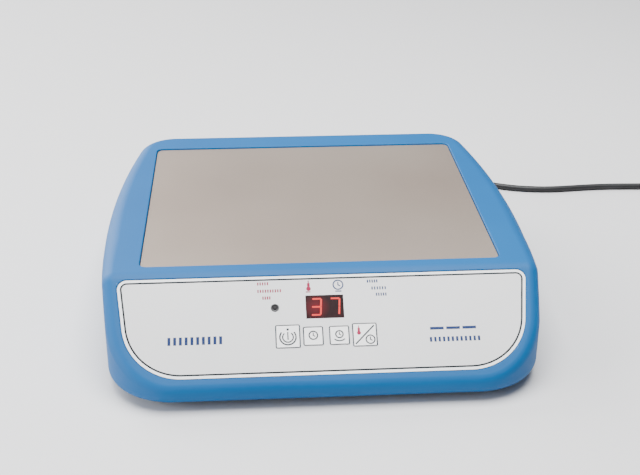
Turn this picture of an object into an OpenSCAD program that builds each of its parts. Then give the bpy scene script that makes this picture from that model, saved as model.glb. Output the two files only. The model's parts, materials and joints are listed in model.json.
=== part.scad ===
// Laboratory warming plate: a moulded housing with a sloped membrane panel, a heated metal
// plate set into its top, and a captive mains lead. X is across the front, Y runs to the
// rear, Z is up, and the origin lies on the bench under the middle of the housing.

/* [Housing] */
// Width of the housing at its widest
body_w = 254; // [250:1:258]
// Depth of the housing, front to rear
body_d = 270; // [268:1:272]
// Height of the top face over the bench
body_h = 58; // [56:1:60]
// Wall thickness of the moulding
wall = 3; // [2.5:0.1:3.2]
// Radius of the bulging side walls, seen from above
side_r = 700; // [680:10:720]
// Y of the widest place of the side walls
side_y = -8; // [-10:1:-6]
// Radius of the two rear corners, seen from above
rear_corner_r = 26; // [25:1:27]
// Radius of the two front corners, seen from above
front_corner_r = 38; // [37:1:39]
// Rounding between the top face and the walls
top_edge_r = 10; // [9:0.5:10]
// Rounding between the sloped front and the walls, and of the front nose
nose_r = 7; // [6.5:0.1:7]
// Height of the housing's lower edge over the bench
foot_h = 4; // [3.6:0.1:4]

/* [Control panel] */
// Slope of the front panel
slope = 40; // [39:0.5:41]
// Y of the crease between the top face and the slope
crease_y = -83.5; // [-84:0.5:-83]
// Radius of the crease
crease_r = 11; // [10:0.5:12]
// Depth of the seat that holds the overlay
seat_depth = 0.9; // [0.8:0.1:1.1]
// Thickness of the overlay
overlay_t = 0.5; // [0.4:0.1:0.6]
// Side of the two large keys
large_key = 13.3; // [13:0.1:13.6]
// Side of the two small keys
small_key = 10.8; // [10.6:0.1:11]
// How far a key travels
key_travel = 0.4; // [0.3:0.05:0.45]

/* [Heated plate] */
// Width of the metal plate
plate_w = 204.8; // [204:0.1:205]
// Depth of the metal plate
plate_d = 181.2; // [180:0.1:181.6]
// Y of the middle of the metal plate
plate_y = 16.5; // [16:0.5:17]
// How far the plate lies below the top face
plate_drop = 1; // [0.6:0.1:1.4]
// Corner radius of the plate
plate_corner_r = 4.2; // [3:0.1:5]

/* [Lead] */
// Diameter of the mains lead
lead_d = 4.5; // [4:0.1:5]
// X of the place where the lead leaves the rear wall
lead_x = 70; // [60:1:78]
// Height of the lead where it leaves the rear wall
lead_z = 16; // [15:0.5:18]
// X of the middle of the coil
coil_x = 302; // [300:1:310]
// Y of the middle of the coil
coil_y = 111; // [110:1:112]
// Radius of the outermost turn
coil_turn_r = 36.2; // [36:0.1:37]
// Number of turns that lie side by side
coil_columns = 5; // [4:1:5]

/* [Hidden] */
$fn = 48;
fine = 0.01;
slip = 0.05;

// Centres of the arcs of the outline: sides, rear corners and front corners
side_x = side_r - body_w / 2;
rear_y = body_d / 2 - rear_corner_r;
front_y = -body_d / 2 + front_corner_r;
rear_x = sqrt(pow(side_r - rear_corner_r, 2) - pow(rear_y - side_y, 2)) - side_x;
front_x = sqrt(pow(side_r - front_corner_r, 2) - pow(front_y - side_y, 2)) - side_x;
rear_turn = atan2(rear_y - side_y, rear_x + side_x);
front_turn = atan2(front_y - side_y, front_x + side_x);
crease_mid_y = crease_y + crease_r * tan(slope / 2);
crease_low_y = crease_mid_y - (crease_r - nose_r) * sin(slope);

// Heights of the stack under the plate
plate_top = body_h - plate_drop;
skin_z = body_h - wall;
gasket_t = 1.2;
flange_t = 3;
flange_lip = 5;
flange_top = skin_z - gasket_t;
plate_bottom = flange_top - flange_t;
mat_t = 1.2;
mat_bottom = plate_bottom - mat_t;
insulation_t = 8;
insulation_bottom = mat_bottom - insulation_t;
tray_t = 1;
tray_bottom = insulation_bottom - tray_t;
flange_w = plate_w + 2 * flange_lip;
flange_d = plate_d + 2 * flange_lip;
opening_gap = 0.3;
tray_screw_x = 112;
tray_screw_step = 62;
spacer_x = 103.5;
tray_points = [for (sx = [-1, 1], sy = [-1, 0, 1]) [sx * tray_screw_x, plate_y + sy * tray_screw_step]];
spacer_points = [for (sx = [-1, 1], sy = [-1, 0, 1]) [sx * spacer_x, plate_y + sy * tray_screw_step]];
sensor_at = [0, 16.5];
cutout_at = [50, 16.5];

// Base pan, feet and screws
pan_t = 2;
pan_top = foot_h + pan_t;
pan_inset = 9.5;
post_r = 4;
post_points = [[92, 120.5], [112, -8], [95, -98]];
foot_points = [[95, 92], [88, -98]];
pilot_r = 1.45;
screw_r = 1.4;
// Clearance holes for the screws' shanks, loose and close
loose_r = 1.7;
close_r = 1.55;
// Cross slots in the screws' heads
slot_w = 0.7;
slot_depth = 0.4;

// Panel features as [across, down the slope]
overlay_top = -seat_depth + overlay_t;
overlay_corner_r = 5.2;
overlay_corner = [108.7, 8.5];
overlay_sweep_r = 33;
overlay_sweep = [78.2, 28.1];
key_power_at = [-21, 38.9];
key_timer_at = [-7.15, 39.1];
key_interval_at = [7.15, 39.1];
key_mode_at = [21.1, 39.2];
display_at = [0, 22.1];
display_w = 20.7;
display_h = 13.4;
lamp_at = [-27.5, 22];
lamp_r = 2.3;
key_corner_r = 0.8;
key_top = overlay_top + 0.15;
key_t = 0.6;
key_gap = 0.2;
pocket_floor = -2.1;
stem_r = 2.4;
stem_end = -3.4;
board_face = -9;
board_t = 1.6;
board_back = board_face - board_t;
board_w = 156;
board_h = 44;
board_at = [0, 32];
switch_top = -5.4;
plunger_r = 1.7;
plunger_end = -6.6;
header_at = [-44, 34];
header_y = crease_y - header_at[1] * cos(slope);
header_z = body_h - header_at[1] * sin(slope);
board_screw_points = [[-72, 14], [72, 14], [-72, 50], [72, 50]];

// Route of the ribbon cable as [y, z], out of the header and over to the power board
ribbon_route = [
    [header_y - (board_back - 2) * sin(slope), header_z + (board_back - 2) * cos(slope)],
    [header_y - (board_back - 12) * sin(slope), header_z + (board_back - 12) * cos(slope)],
    [-88, 13], [-80, 11], [-40, 10], [0, 11], [12, 14], [18, 15.4], [24, 15.2]
];

// Power board on the base pan
power_at = [-20, 58];
power_w = 112;
power_d = 84;
power_z = pan_top + 6;
power_top = power_z + board_t;
power_holes = [for (sx = [-1, 1], sy = [-1, 1]) power_at + [sx * 50, sy * 36]];

// Lead: its radius, its strain relief and its route over the bench
lead_r = lead_d / 2;
rear_face = body_d / 2;
relief_end = rear_face + 24;
clamp_y = 112;
tie_t = 0.8;
coil_in_r = coil_turn_r - (coil_columns - 1) * lead_d;
cord_route = [
    [70, 159, 16], [70.5, 166, 15.6], [73, 173, 14], [78, 179, 11.5], [86, 183, 8.5],
    [96, 184, 5.5], [107, 182, 3.4], [118, 177.5, 2.4], [128, 171.5, 2.3], [138, 165, 2.3],
    [148, 159, 2.3], [159, 154, 2.3], [170, 150.5, 2.3], [181, 148.5, 2.3], [192, 147.6, 2.3],
    [204, 148.2, 2.3], [216, 149.2, 2.3], [228, 150, 2.3], [240, 150.2, 2.3], [252, 149.8, 2.3],
    [264, 149, 2.4], [276, 148.1, 2.7], [289, 147.4, 3], [302, 147.2, 3.05]
];
tail_route = [
    [338.2, 111, 7.55], [338.4, 102, 7.5], [338.8, 93, 7.2], [339.4, 84, 7], [340, 74, 7]
];
plug_at = [340, 74, 7];

// Points of an arc, with or without its last point
function arc(c, r, a0, a1, n, last = 0) =
    [for (i = [0:n - 1 + last]) c + r * [cos(a0 + (a1 - a0) * i / n), sin(a0 + (a1 - a0) * i / n)]];

// Outline of the housing seen from above, moved inwards by t
function outline(t) = concat(
    arc([front_x, front_y], front_corner_r - t, -90, front_turn, 8),
    arc([-side_x, side_y], side_r - t, front_turn, 0, 4),
    arc([-side_x, side_y], side_r - t, 0, rear_turn, 4),
    arc([rear_x, rear_y], rear_corner_r - t, rear_turn, 90, 8, 1),
    arc([-rear_x, rear_y], rear_corner_r - t, 90, 180 - rear_turn, 8),
    arc([side_x, side_y], side_r - t, 180 - rear_turn, 180, 4),
    arc([side_x, side_y], side_r - t, 180, 180 - front_turn, 4),
    arc([-front_x, front_y], front_corner_r - t, 180 - front_turn, 270, 8, 1)
);

// Height of the sloped face over a place at y
function slope_z(y) = body_h + (y - crease_y) * tan(slope);

// Stations round the housing, each an arc's centre, its radius and a direction from it
side_turns = concat([front_turn], [for (y = [crease_low_y, (crease_low_y + crease_mid_y) / 2, crease_mid_y])
    asin((y - side_y) / (side_r - nose_r))], [-3, 0, 3.3, 6.7]);
half_stations = concat(
    [for (i = [0:7]) [[front_x, front_y], front_corner_r, -90 + (front_turn + 90) * i / 8]],
    [for (a = side_turns) [[-side_x, side_y], side_r, a]],
    [for (i = [0:8]) [[rear_x, rear_y], rear_corner_r, rear_turn + (90 - rear_turn) * i / 8]]);
stations = concat(half_stations, [for (s = reversed(half_stations)) [[-s[0][0], s[0][1]], s[1], 180 - s[2]]]);
crease_first = 9;

// Radius of the upper edge: it grows from the slope's to the top face's behind the crease
function edge_r(y) = nose_r + (top_edge_r - nose_r) * max(0, min(1, (y - crease_mid_y - 2) / 40));

// Tilt of the upper face over a place at y
function tilt(y) = y >= crease_mid_y - fine ? 0 : y <= crease_low_y + fine ? slope :
    asin((crease_mid_y - y) / (crease_r - nose_r));

// Height of the centre of the edge rounding at y
function edge_z(y, r) = y >= crease_mid_y - fine ? body_h - r :
    y <= crease_low_y + fine ? slope_z(y) - r / cos(slope) :
    body_h - crease_r + (crease_r - nose_r) * cos(tilt(y));

// Point of the upper edge rounding, from the wall at k = 0 to the top at k = 1
function high_point(s, t, k) =
    let (r = edge_r(s[0][1] + s[1] * sin(s[2])),
         out = [cos(s[2]), sin(s[2]), 0],
         mid = [each s[0], 0] + (s[1] - r) * out,
         lean = tilt(mid[1]),
         up = [0, -sin(lean), cos(lean)],
         turn = acos(out * up))
    [mid[0], mid[1], edge_z(mid[1], r)]
        + (r - t) * (sin((1 - k) * turn) * out + sin(k * turn) * up) / sin(turn);

// Point of the lower edge rounding, b degrees below the wall
function low_point(s, t, b) =
    let (out = [cos(s[2]), sin(s[2]), 0])
    [each s[0], foot_h + nose_r] + (s[1] - nose_r + (nose_r - t) * cos(b)) * out
        - [0, 0, (nose_r - t) * sin(b)];

function unit(v) = v / norm(v);

// Direction of a route at point i
function along(p, i) = unit(p[min(i + 1, len(p) - 1)] - p[max(i - 1, 0)]);

// Points of a flat route, moved sideways by d
function beside(p, d) = [for (i = [0:len(p) - 1]) let (t = along(p, i)) p[i] + d * [-t[1], t[0]]];

function reversed(p) = [for (i = [len(p) - 1:-1:0]) p[i]];

// One ring of points around point i of a route, square to the route
function ring(p, i, r, sides, up) =
    let (t = along(p, i), s = unit(cross(t, up)), w = cross(s, t))
    [for (k = [0:sides - 1]) p[i] + r * (cos(360 * k / sides) * s + sin(360 * k / sides) * w)];

module tube(p, r, sides = 8, up = [0, 0, 1]) {
    rings = [for (i = [0:len(p) - 1]) each ring(p, i, r, sides, up)];
    last = (len(p) - 1) * sides;
    walls = [for (i = [0:len(p) - 2], k = [0:sides - 1])
        let (a = i * sides + k, b = i * sides + (k + 1) % sides)
        each [[a, a + sides, b + sides], [a, b + sides, b]]];
    first_cap = [for (k = [0:sides - 1]) k];
    last_cap = [for (k = [sides - 1:-1:0]) last + k];
    polyhedron(points = rings, faces = concat(walls, [first_cap, last_cap]), convexity = 6);
}

module at_panel(place = [0, 0]) {
    translate([0, crease_y, body_h]) rotate([slope, 0, 0]) translate([place[0], -place[1], 0])
        children();
}

module slab(w, d, r, low, high) {
    x = w / 2 - r;
    y = d / 2 - r;
    shape = concat(
        arc([x, -y], r, -90, 0, 6, 1), arc([x, y], r, 0, 90, 6, 1),
        arc([-x, y], r, 90, 180, 6, 1), arc([-x, -y], r, 180, 270, 6, 1));
    translate([0, 0, low]) linear_extrude(high - low) polygon(shape);
}

module rod(r, low, high) {
    translate([0, 0, low]) cylinder(r = r, h = high - low);
}

module box(w, d, low, high) {
    translate([-w / 2, -d / 2, low]) cube([w, d, high - low]);
}

// Screw with its head at the given height, shank pointing up
module screw_up(head_r, head_h, shank_r, head_z, tip_z) {
    rod(head_r, head_z, head_z + head_h);
    rod(shank_r, head_z + head_h - fine, tip_z);
}

module mirrored() {
    children();
    mirror([1, 0, 0]) children();
}

// Solid form of the housing, with all of its skin moved inwards by t. Rows of points run
// round it from the middle of its underside, up the walls and over the upper edge.
module form(t) {
    n = len(stations);
    low_rows = [for (b = [90:-22.5:0]) [for (s = stations) low_point(s, t, b)]];
    high_rows = [for (k = [0:0.25:1]) [for (s = stations) high_point(s, t, k)]];
    rows = concat(low_rows, high_rows);
    top = (len(rows) - 1) * n;
    first_flat = crease_first + 2;
    walls = [for (j = [0:len(rows) - 2], i = [0:n - 1])
        let (a = j * n + i, b = j * n + (i + 1) % n)
        each [[a, a + n, b + n], [a, b + n, b]]];
    under = [for (i = [0:n - 1]) i];
    flat = [for (i = [n - 1 - first_flat:-1:first_flat]) top + i];
    slope_face = concat([for (i = [n - 1:-1:n - 1 - crease_first]) top + i],
        [for (i = [crease_first:-1:0]) top + i]);
    strips = [for (i = [crease_first, crease_first + 1])
        [top + i + 1, top + i, top + n - 1 - i, top + n - 2 - i]];
    polyhedron(points = [for (r = rows) each r], faces = concat([under, flat, slope_face], strips, walls),
        convexity = 10);
}

// Outline of the overlay: a straight top, leaning sides and wide sweeps at its lower corners
module overlay_shape(grow) {
    apart = [overlay_corner[0] - overlay_sweep[0], overlay_sweep[1] - overlay_corner[1]];
    lean = atan2(apart[1], apart[0]) - acos((overlay_sweep_r - overlay_corner_r) / norm(apart));
    low = [overlay_sweep[0], -overlay_sweep[1]];
    high = [overlay_corner[0], -overlay_corner[1]];
    right = concat(arc(low, overlay_sweep_r + grow, -90, lean, 14, 1),
        arc(high, overlay_corner_r + grow, lean, 90, 8, 1));
    polygon(concat(right, [for (p = reversed(right)) [-p[0], p[1]]]));
}

module key_hole(place, side) {
    at_panel(place) {
        slab(side + 0.6, side + 0.6, key_corner_r, pocket_floor, 1);
        rod(stem_r + 0.3, -wall - 2, 1);
    }
}

// Moulding with its open underside and the ledge that the base pan lies against
module shell() {
    difference() {
        form(0);
        form(wall);
        translate([0, 0, -1]) linear_extrude(pan_top + 1) polygon(outline(pan_inset - 0.3));
        translate([0, 0, 1]) linear_extrude(foot_h + wall) polygon(outline(pan_inset + 2.5));
    }
}

// Posts that take the screws of the base pan and of the backing tray
module posts() {
    intersection() {
        form(1);
        union() {
            mirrored() for (p = post_points) translate(p) rod(post_r, pan_top, body_h);
            for (p = tray_points) translate(p) rod(post_r, insulation_bottom, body_h);
        }
    }
}

module top_housing() color([0.33, 0.60, 0.80]) {
    difference() {
        union() {
            shell();
            posts();
            for (p = board_screw_points) at_panel(p) rod(3.2, board_face, -wall + 0.5);
        }
        translate([0, plate_y, 0]) slab(plate_w + 2 * opening_gap, plate_d + 2 * opening_gap,
            plate_corner_r + opening_gap, skin_z - 1, body_h + 1);
        at_panel() translate([0, 0, -seat_depth]) linear_extrude(3) overlay_shape(0.4);
        at_panel(display_at) box(display_w + 0.4, display_h + 0.4, -wall - 1, 1);
        at_panel(lamp_at) rod(lamp_r + 0.05, -wall - 1, 1);
        key_hole(key_power_at, large_key);
        key_hole(key_timer_at, small_key);
        key_hole(key_interval_at, small_key);
        key_hole(key_mode_at, large_key);
        mirrored() for (p = post_points) translate(p) rod(pilot_r, pan_top - 1, pan_top + 14);
        for (p = tray_points) translate(p) rod(pilot_r, tray_bottom, tray_bottom + 11);
        for (p = board_screw_points) at_panel(p) rod(pilot_r, board_face - 1, board_face + 5);
        translate([lead_x, rear_face, lead_z]) rotate([90, 0, 0]) rod(4.55, -1, wall + 1);
    }
}

module base_pan() color([0.62, 0.64, 0.66]) {
    difference() {
        translate([0, 0, foot_h]) linear_extrude(pan_t) polygon(outline(pan_inset));
        mirrored() {
            for (p = post_points) {
                translate(p) {
                    rod(loose_r, foot_h - 1, pan_top + 1);
                    rod(3.1, foot_h - 1, foot_h + 0.8);
                }
            }
            for (p = foot_points) translate(p) rod(close_r, foot_h - 1, pan_top + 1);
            for (i = [0:6]) translate([50 + 7 * i, -30]) box(3, 36, foot_h - 1, pan_top + 1);
        }
        for (p = power_holes) translate(p) rod(close_r, foot_h - 1, pan_top + 1);
        for (sx = [-1, 1]) translate([lead_x + sx * 8, clamp_y]) rod(close_r, foot_h - 1, pan_top + 1);
    }
}

module base_screws() color([0.72, 0.73, 0.75]) {
    mirrored() for (p = post_points) translate(p) difference() {
        union() {
            rod(2.9, foot_h + 0.2, foot_h + 0.8);
            rod(screw_r, foot_h + 0.8 - fine, pan_top + 12);
        }
        for (turn = [0, 90]) rotate(turn) box(3, slot_w, foot_h - 1, foot_h + 0.2 + slot_depth);
    }
}

module rubber_feet() color([0.10, 0.10, 0.11]) {
    mirrored() for (p = foot_points) translate(p) difference() {
        union() {
            rod(8, 0.8, foot_h);
            cylinder(r1 = 7.2, r2 = 8, h = 0.8 + fine);
        }
        rod(3.6, -1, 2.6);
        rod(1.6, 2, foot_h + 1);
    }
}

module foot_screws() color([0.72, 0.73, 0.75]) {
    mirrored() for (p = foot_points) translate(p) difference() {
        screw_up(3.2, 1.5, screw_r, 1.1, pan_top + 3);
        for (turn = [0, 90]) rotate(turn) box(4, slot_w, 0, 1.1 + slot_depth);
    }
}

module heating_plate() color([0.70, 0.67, 0.63]) {
    translate([0, plate_y, 0]) {
        slab(plate_w, plate_d, plate_corner_r, plate_bottom, plate_top);
        slab(flange_w, flange_d, 6, plate_bottom, flange_top);
    }
}

module plate_gasket() color([0.75, 0.25, 0.20]) {
    translate([0, plate_y, 0]) difference() {
        slab(flange_w, flange_d, 6, flange_top, skin_z);
        slab(plate_w + 0.8, plate_d + 0.8, plate_corner_r + 0.4, flange_top - 1, skin_z + 1);
    }
}

module heater_mat() color([0.80, 0.35, 0.15]) {
    difference() {
        translate([0, plate_y, 0]) slab(190, 168, 6, mat_bottom, plate_bottom);
        translate(sensor_at) box(22, 16, mat_bottom - 1, plate_bottom + 1);
        translate(cutout_at) rod(11, mat_bottom - 1, plate_bottom + 1);
    }
}

module insulation_board() color([0.90, 0.88, 0.80]) {
    difference() {
        translate([0, plate_y, 0]) slab(192, 176, 4, insulation_bottom, mat_bottom);
        translate(sensor_at) box(26, 20, insulation_bottom - 1, mat_bottom + 1);
        translate(cutout_at) rod(12, insulation_bottom - 1, mat_bottom + 1);
        translate([-60, plate_y]) box(14, 10, insulation_bottom - 1, mat_bottom + 1);
    }
}

module backing_tray() color([0.68, 0.70, 0.72]) {
    difference() {
        union() {
            translate([0, plate_y, 0]) slab(212, 182, 4, tray_bottom, insulation_bottom);
            for (p = tray_points) translate([p[0] * 0.97, p[1]]) box(14, 14, tray_bottom, insulation_bottom);
        }
        for (p = tray_points) translate(p) rod(loose_r, tray_bottom - 1, insulation_bottom + 1);
        translate(sensor_at) box(20, 12, tray_bottom - 1, insulation_bottom + 1);
        translate(cutout_at) rod(9, tray_bottom - 1, insulation_bottom + 1);
        translate([-60, plate_y]) box(12, 8, tray_bottom - 1, insulation_bottom + 1);
    }
}

module flange_spacers() color([0.93, 0.93, 0.90]) {
    for (p = spacer_points) translate(p) difference() {
        rod(3.5, insulation_bottom, plate_bottom);
        rod(loose_r, insulation_bottom - 1, plate_bottom + 1);
    }
}

module tray_screws() color([0.72, 0.73, 0.75]) {
    for (p = tray_points) translate(p) difference() {
        screw_up(2.9, 1.8, screw_r, tray_bottom - 1.8, tray_bottom + 9);
        for (turn = [0, 90]) rotate(turn) box(3.6, slot_w, tray_bottom - 2.5, tray_bottom - 1.8 + slot_depth);
    }
}

module temperature_sensor() color([0.15, 0.30, 0.20]) {
    translate(sensor_at) {
        box(14, 6, plate_bottom - 4, plate_bottom);
        for (sy = [-1, 1]) translate([8.5, 1.5 * sy]) box(3, 1.2, plate_bottom - 3, plate_bottom - 1.8);
    }
}

module sensor_clip() color([0.80, 0.80, 0.82]) {
    translate(sensor_at) {
        box(5, 14, plate_bottom - 4.8, plate_bottom - 4);
        for (sy = [-1, 1]) translate([0, sy * 5]) box(5, 0.8, plate_bottom - 4 - fine, plate_bottom);
    }
}

module thermal_cutout() color([0.25, 0.22, 0.20]) {
    translate(cutout_at) {
        rod(8.5, plate_bottom - 2, plate_bottom);
        rod(6.5, plate_bottom - 9, plate_bottom - 2 + fine);
        for (sx = [-1, 1]) translate([4 * sx, 0]) box(0.8, 5, plate_bottom - 15, plate_bottom - 9 + fine);
    }
}

module panel_overlay() color([0.90, 0.90, 0.91]) {
    at_panel() difference() {
        translate([0, 0, -seat_depth]) linear_extrude(overlay_t) overlay_shape(0);
        translate([display_at[0], -display_at[1]]) box(display_w + 0.3, display_h + 0.3, -2, 1);
        translate([lamp_at[0], -lamp_at[1]]) rod(lamp_r + 0.05, -2, 1);
        for (k = [[key_power_at, large_key], [key_timer_at, small_key],
                  [key_interval_at, small_key], [key_mode_at, large_key]]) {
            translate([k[0][0], -k[0][1]])
                slab(k[1] + 2 * key_gap, k[1] + 2 * key_gap, key_corner_r + key_gap, -2, 1);
        }
    }
}

module display_filter() color([0.35, 0.05, 0.06, 0.8]) {
    at_panel(display_at) box(display_w, display_h, -2.4, overlay_top - 0.1);
}

module display_module() color([0.10, 0.10, 0.10]) {
    at_panel(display_at) box(display_w - 0.6, display_h - 0.4, board_face, -2.4);
}

module lamp_bezel() color([0.12, 0.12, 0.13]) {
    at_panel(lamp_at) difference() {
        rod(lamp_r, -wall, overlay_top + 0.3);
        rod(1.35, -wall - 1, 1);
    }
}

module lamp_lens() color([0.45, 0.46, 0.48]) {
    at_panel(lamp_at) rod(1.3, -wall, overlay_top + 0.15);
}

module indicator_led() color([0.75, 0.15, 0.12]) {
    at_panel(lamp_at) {
        rod(1.5, board_face, -wall - 0.6);
        rod(1.9, board_face, board_face + 1);
    }
}

module key_cap(place, side) color([0.88, 0.88, 0.89]) {
    at_panel(place) {
        slab(side, side, key_corner_r, key_top - key_t, key_top);
        rod(stem_r, stem_end, key_top - key_t + fine);
    }
}

module plunger(place) color([0.15, 0.15, 0.16]) {
    at_panel(place) rod(plunger_r, plunger_end, stem_end);
}

module key_power() key_cap(key_power_at, large_key);
module key_timer() key_cap(key_timer_at, small_key);
module key_interval() key_cap(key_interval_at, small_key);
module key_mode() key_cap(key_mode_at, large_key);
module plunger_power() plunger(key_power_at);
module plunger_timer() plunger(key_timer_at);
module plunger_interval() plunger(key_interval_at);
module plunger_mode() plunger(key_mode_at);

module switch_bodies() color([0.18, 0.18, 0.20]) {
    for (p = [key_power_at, key_timer_at, key_interval_at, key_mode_at]) at_panel(p) difference() {
        box(6, 6, board_face, switch_top);
        rod(plunger_r + slip, plunger_end - key_travel - 0.4, switch_top + 1);
    }
}

module control_board() color([0.10, 0.40, 0.22]) {
    difference() {
        at_panel(board_at) box(board_w, board_h, board_back, board_face);
        for (p = board_screw_points) at_panel(p) rod(loose_r, board_back - 1, board_face + 1);
    }
}

module board_screws() color([0.72, 0.73, 0.75]) {
    for (p = board_screw_points) at_panel(p) screw_up(2.8, 1.6, screw_r, board_back - 1.6, board_face + 4);
}

module controller_chip() color([0.08, 0.08, 0.09]) {
    at_panel([10, 30]) {
        box(10, 10, board_back - 1.4, board_back - 0.2);
        for (turn = [0, 90], i = [0:7], s = [-1, 1]) rotate(turn) translate([i - 3.5, 5.5 * s])
            box(0.4, 1.4, board_back - 0.5, board_back);
    }
}

module buzzer() color([0.08, 0.08, 0.09]) {
    at_panel([48, 34]) difference() {
        rod(6, board_back - 7, board_back);
        rod(1, board_back - 8, board_back - 4);
    }
}

module board_header() color([0.85, 0.85, 0.82]) {
    at_panel(header_at) difference() {
        box(22, 8, board_back - 8, board_back);
        box(18, 4, board_back - 9, board_back - 1.5);
    }
}

module ribbon_cable() color([0.55, 0.56, 0.58]) {
    translate([header_at[0], 0, 0]) rotate([90, 0, 90]) translate([0, 0, -8.5]) linear_extrude(17)
        polygon(concat(beside(ribbon_route, 0.5), reversed(beside(ribbon_route, -0.5))));
}

module power_board() color([0.12, 0.42, 0.24]) {
    difference() {
        translate(power_at) box(power_w, power_d, power_z, power_top);
        for (p = power_holes) translate(p) rod(loose_r, power_z - 1, power_top + 1);
    }
}

module power_spacers() color([0.80, 0.66, 0.35]) {
    for (p = power_holes) translate([each p, pan_top]) difference() {
        cylinder(r = 3, h = power_z - pan_top, $fn = 6);
        rod(screw_r + slip, -1, power_z - pan_top + 1);
    }
}

module power_screws() color([0.72, 0.73, 0.75]) {
    for (p = power_holes) translate(p) {
        rod(2.8, power_top, power_top + 1.6);
        rod(screw_r, pan_top + 1, power_top + fine);
    }
}

module transformer() color([0.30, 0.30, 0.32]) {
    translate(power_at + [-30, 10]) {
        difference() {
            box(36, 30, power_top + 3, power_top + 21);
            for (s = [-1, 1]) translate([0, s * 9]) box(22, 7.5, power_top, power_top + 25);
        }
        for (s = [-1, 1]) translate([0, s * 9]) box(21.6, 7, power_top, power_top + 23);
    }
}

module heat_sink() color([0.12, 0.12, 0.13]) {
    translate(power_at + [38, 22]) {
        box(26, 2.4, power_top, power_top + 22);
        for (i = [-3:3]) translate([3.8 * i, 5.2 - fine]) box(1.2, 8, power_top, power_top + 22);
    }
}

module heater_triac() color([0.10, 0.10, 0.11]) {
    translate(power_at + [38, 22]) {
        translate([0, -3.2]) box(10, 4, power_top + 4, power_top + 14);
        for (i = [-1:1]) translate([2.5 * i, -3.2]) box(0.8, 0.6, power_top, power_top + 4 + fine);
    }
}

module fuse_clips() color([0.85, 0.80, 0.60]) {
    translate(power_at + [20, -30]) for (s = [-1, 1]) translate([s * 9, 0]) difference() {
        box(4, 7.6, power_top, power_top + 7);
        translate([-3, 0, power_top + 4]) rotate([0, 90, 0]) rod(2.65, 0, 6);
        box(5, 3.6, power_top + 4, power_top + 8);
    }
}

module fuse() color([0.90, 0.92, 0.94]) {
    translate(power_at + [20, -30]) translate([0, 0, power_top + 4]) rotate([0, 90, 0]) {
        rod(2.3, -9, 9);
        for (s = [-1, 1]) translate([0, 0, s * 7.5]) rod(2.6, -2.5, 2.5);
    }
}

module terminal_block() color([0.15, 0.45, 0.25]) {
    translate(power_at + [46, -6]) difference() {
        box(9, 22, power_top, power_top + 12);
        for (i = [-1.5:1.5]) translate([0, 5 * i]) {
            rod(1.6, power_top + 9, power_top + 13);
            translate([0, 0, power_top + 4]) rotate([0, 90, 0]) rod(1.5, 1, 5);
        }
    }
}

module capacitors() color([0.12, 0.16, 0.35]) {
    for (p = [[-2, 28], [-2, 12], [8, 4]]) translate(power_at + p) {
        rod(5, power_top, power_top + 16);
    }
}

module heater_wires() color([0.75, 0.72, 0.66]) {
    for (s = [-1, 1]) {
        tube([[-60 + 2 * s, plate_y, mat_bottom - 0.4], [-60 + 2 * s, plate_y, 40],
              [-58 + 2 * s, plate_y + 1, 36], [-52 + 2 * s, plate_y + 3, 31],
              [-44 + 2 * s, plate_y + 6, 26], [-38 + 2 * s, plate_y + 9, 21],
              [-35 + 2 * s, plate_y + 11, power_top + 4], [-35 + 2 * s, plate_y + 11, power_top]],
             0.9, 8, [0, 1, 0]);
    }
}

module mains_wires() color([0.45, 0.28, 0.16]) {
    lead_end = clamp_y - 10;
    block_face = power_at[0] + 51;
    wire_r = 0.8;
    for (s = [-1, 1]) tube([
        [lead_x + s, lead_end, lead_z], [lead_x + 1.6 * s, lead_end - 8, lead_z],
        [lead_x - 4 + 2 * s, lead_end - 18, lead_z + 1],
        [lead_x - 12 + 2 * s, lead_end - 30, lead_z + 2],
        [lead_x - 20 + 2 * s, lead_end - 40, lead_z + 2],
        [lead_x - 28 + 2 * s, 51 - 2.5 * s, power_top + 4],
        [block_face + 1, 49.5 - 2.5 * s, power_top + 4]
    ], wire_r);
}

module cord_clamp() color([0.14, 0.14, 0.15]) {
    low = lead_z - lead_r;
    high = lead_z + lead_r;
    difference() {
        union() {
            translate([lead_x, clamp_y]) box(24, 9, pan_top, low);
            translate([lead_x, clamp_y]) box(24, 9, high, high + 3);
        }
        for (s = [-1, 1]) translate([lead_x + s * 8, clamp_y]) rod(1.6, pan_top - 1, high + 5);
    }
}

module clamp_screws() color([0.72, 0.73, 0.75]) {
    high = lead_z + lead_r + 3;
    for (s = [-1, 1]) translate([lead_x + s * 8, clamp_y]) {
        rod(2.7, high, high + 1.6);
        rod(screw_r, foot_h + 0.2, high + fine);
    }
}

module inner_lead() color([0.08, 0.08, 0.09]) {
    translate([lead_x, rear_face - wall - 2, lead_z]) rotate([90, 0, 0])
        rod(lead_r, 0, rear_face - wall - 2 - clamp_y + 10);
}

module strain_relief() color([0.09, 0.09, 0.10]) {
    length = relief_end - rear_face;
    translate([lead_x, rear_face, lead_z]) rotate([-90, 0, 0]) {
        rod(6, -wall - 2, -wall);
        rod(4.5, -wall - fine, fine);
        rod(6.6, 0, 2);
        translate([0, 0, 2 - fine]) cylinder(r1 = 5.2, r2 = 3.2, h = length - 2 + fine);
    }
}

module mains_cord() color([0.08, 0.08, 0.09]) {
    tube(cord_route, lead_r);
}

module cord_coil() color([0.08, 0.08, 0.09]) {
    height = 2 * lead_d;
    inner = coil_in_r - lead_r;
    width = coil_columns * lead_d;
    translate([coil_x, coil_y, tie_t]) rotate_extrude($fn = 96) translate([inner, 0]) {
        translate([0, lead_r]) square([width, height - 2 * lead_r]);
        translate([lead_r, 0]) square([width - 2 * lead_r, height]);
        for (x = [lead_r, width - lead_r], y = [lead_r, height - lead_r])
            translate([x, y]) circle(r = lead_r);
    }
}

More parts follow.
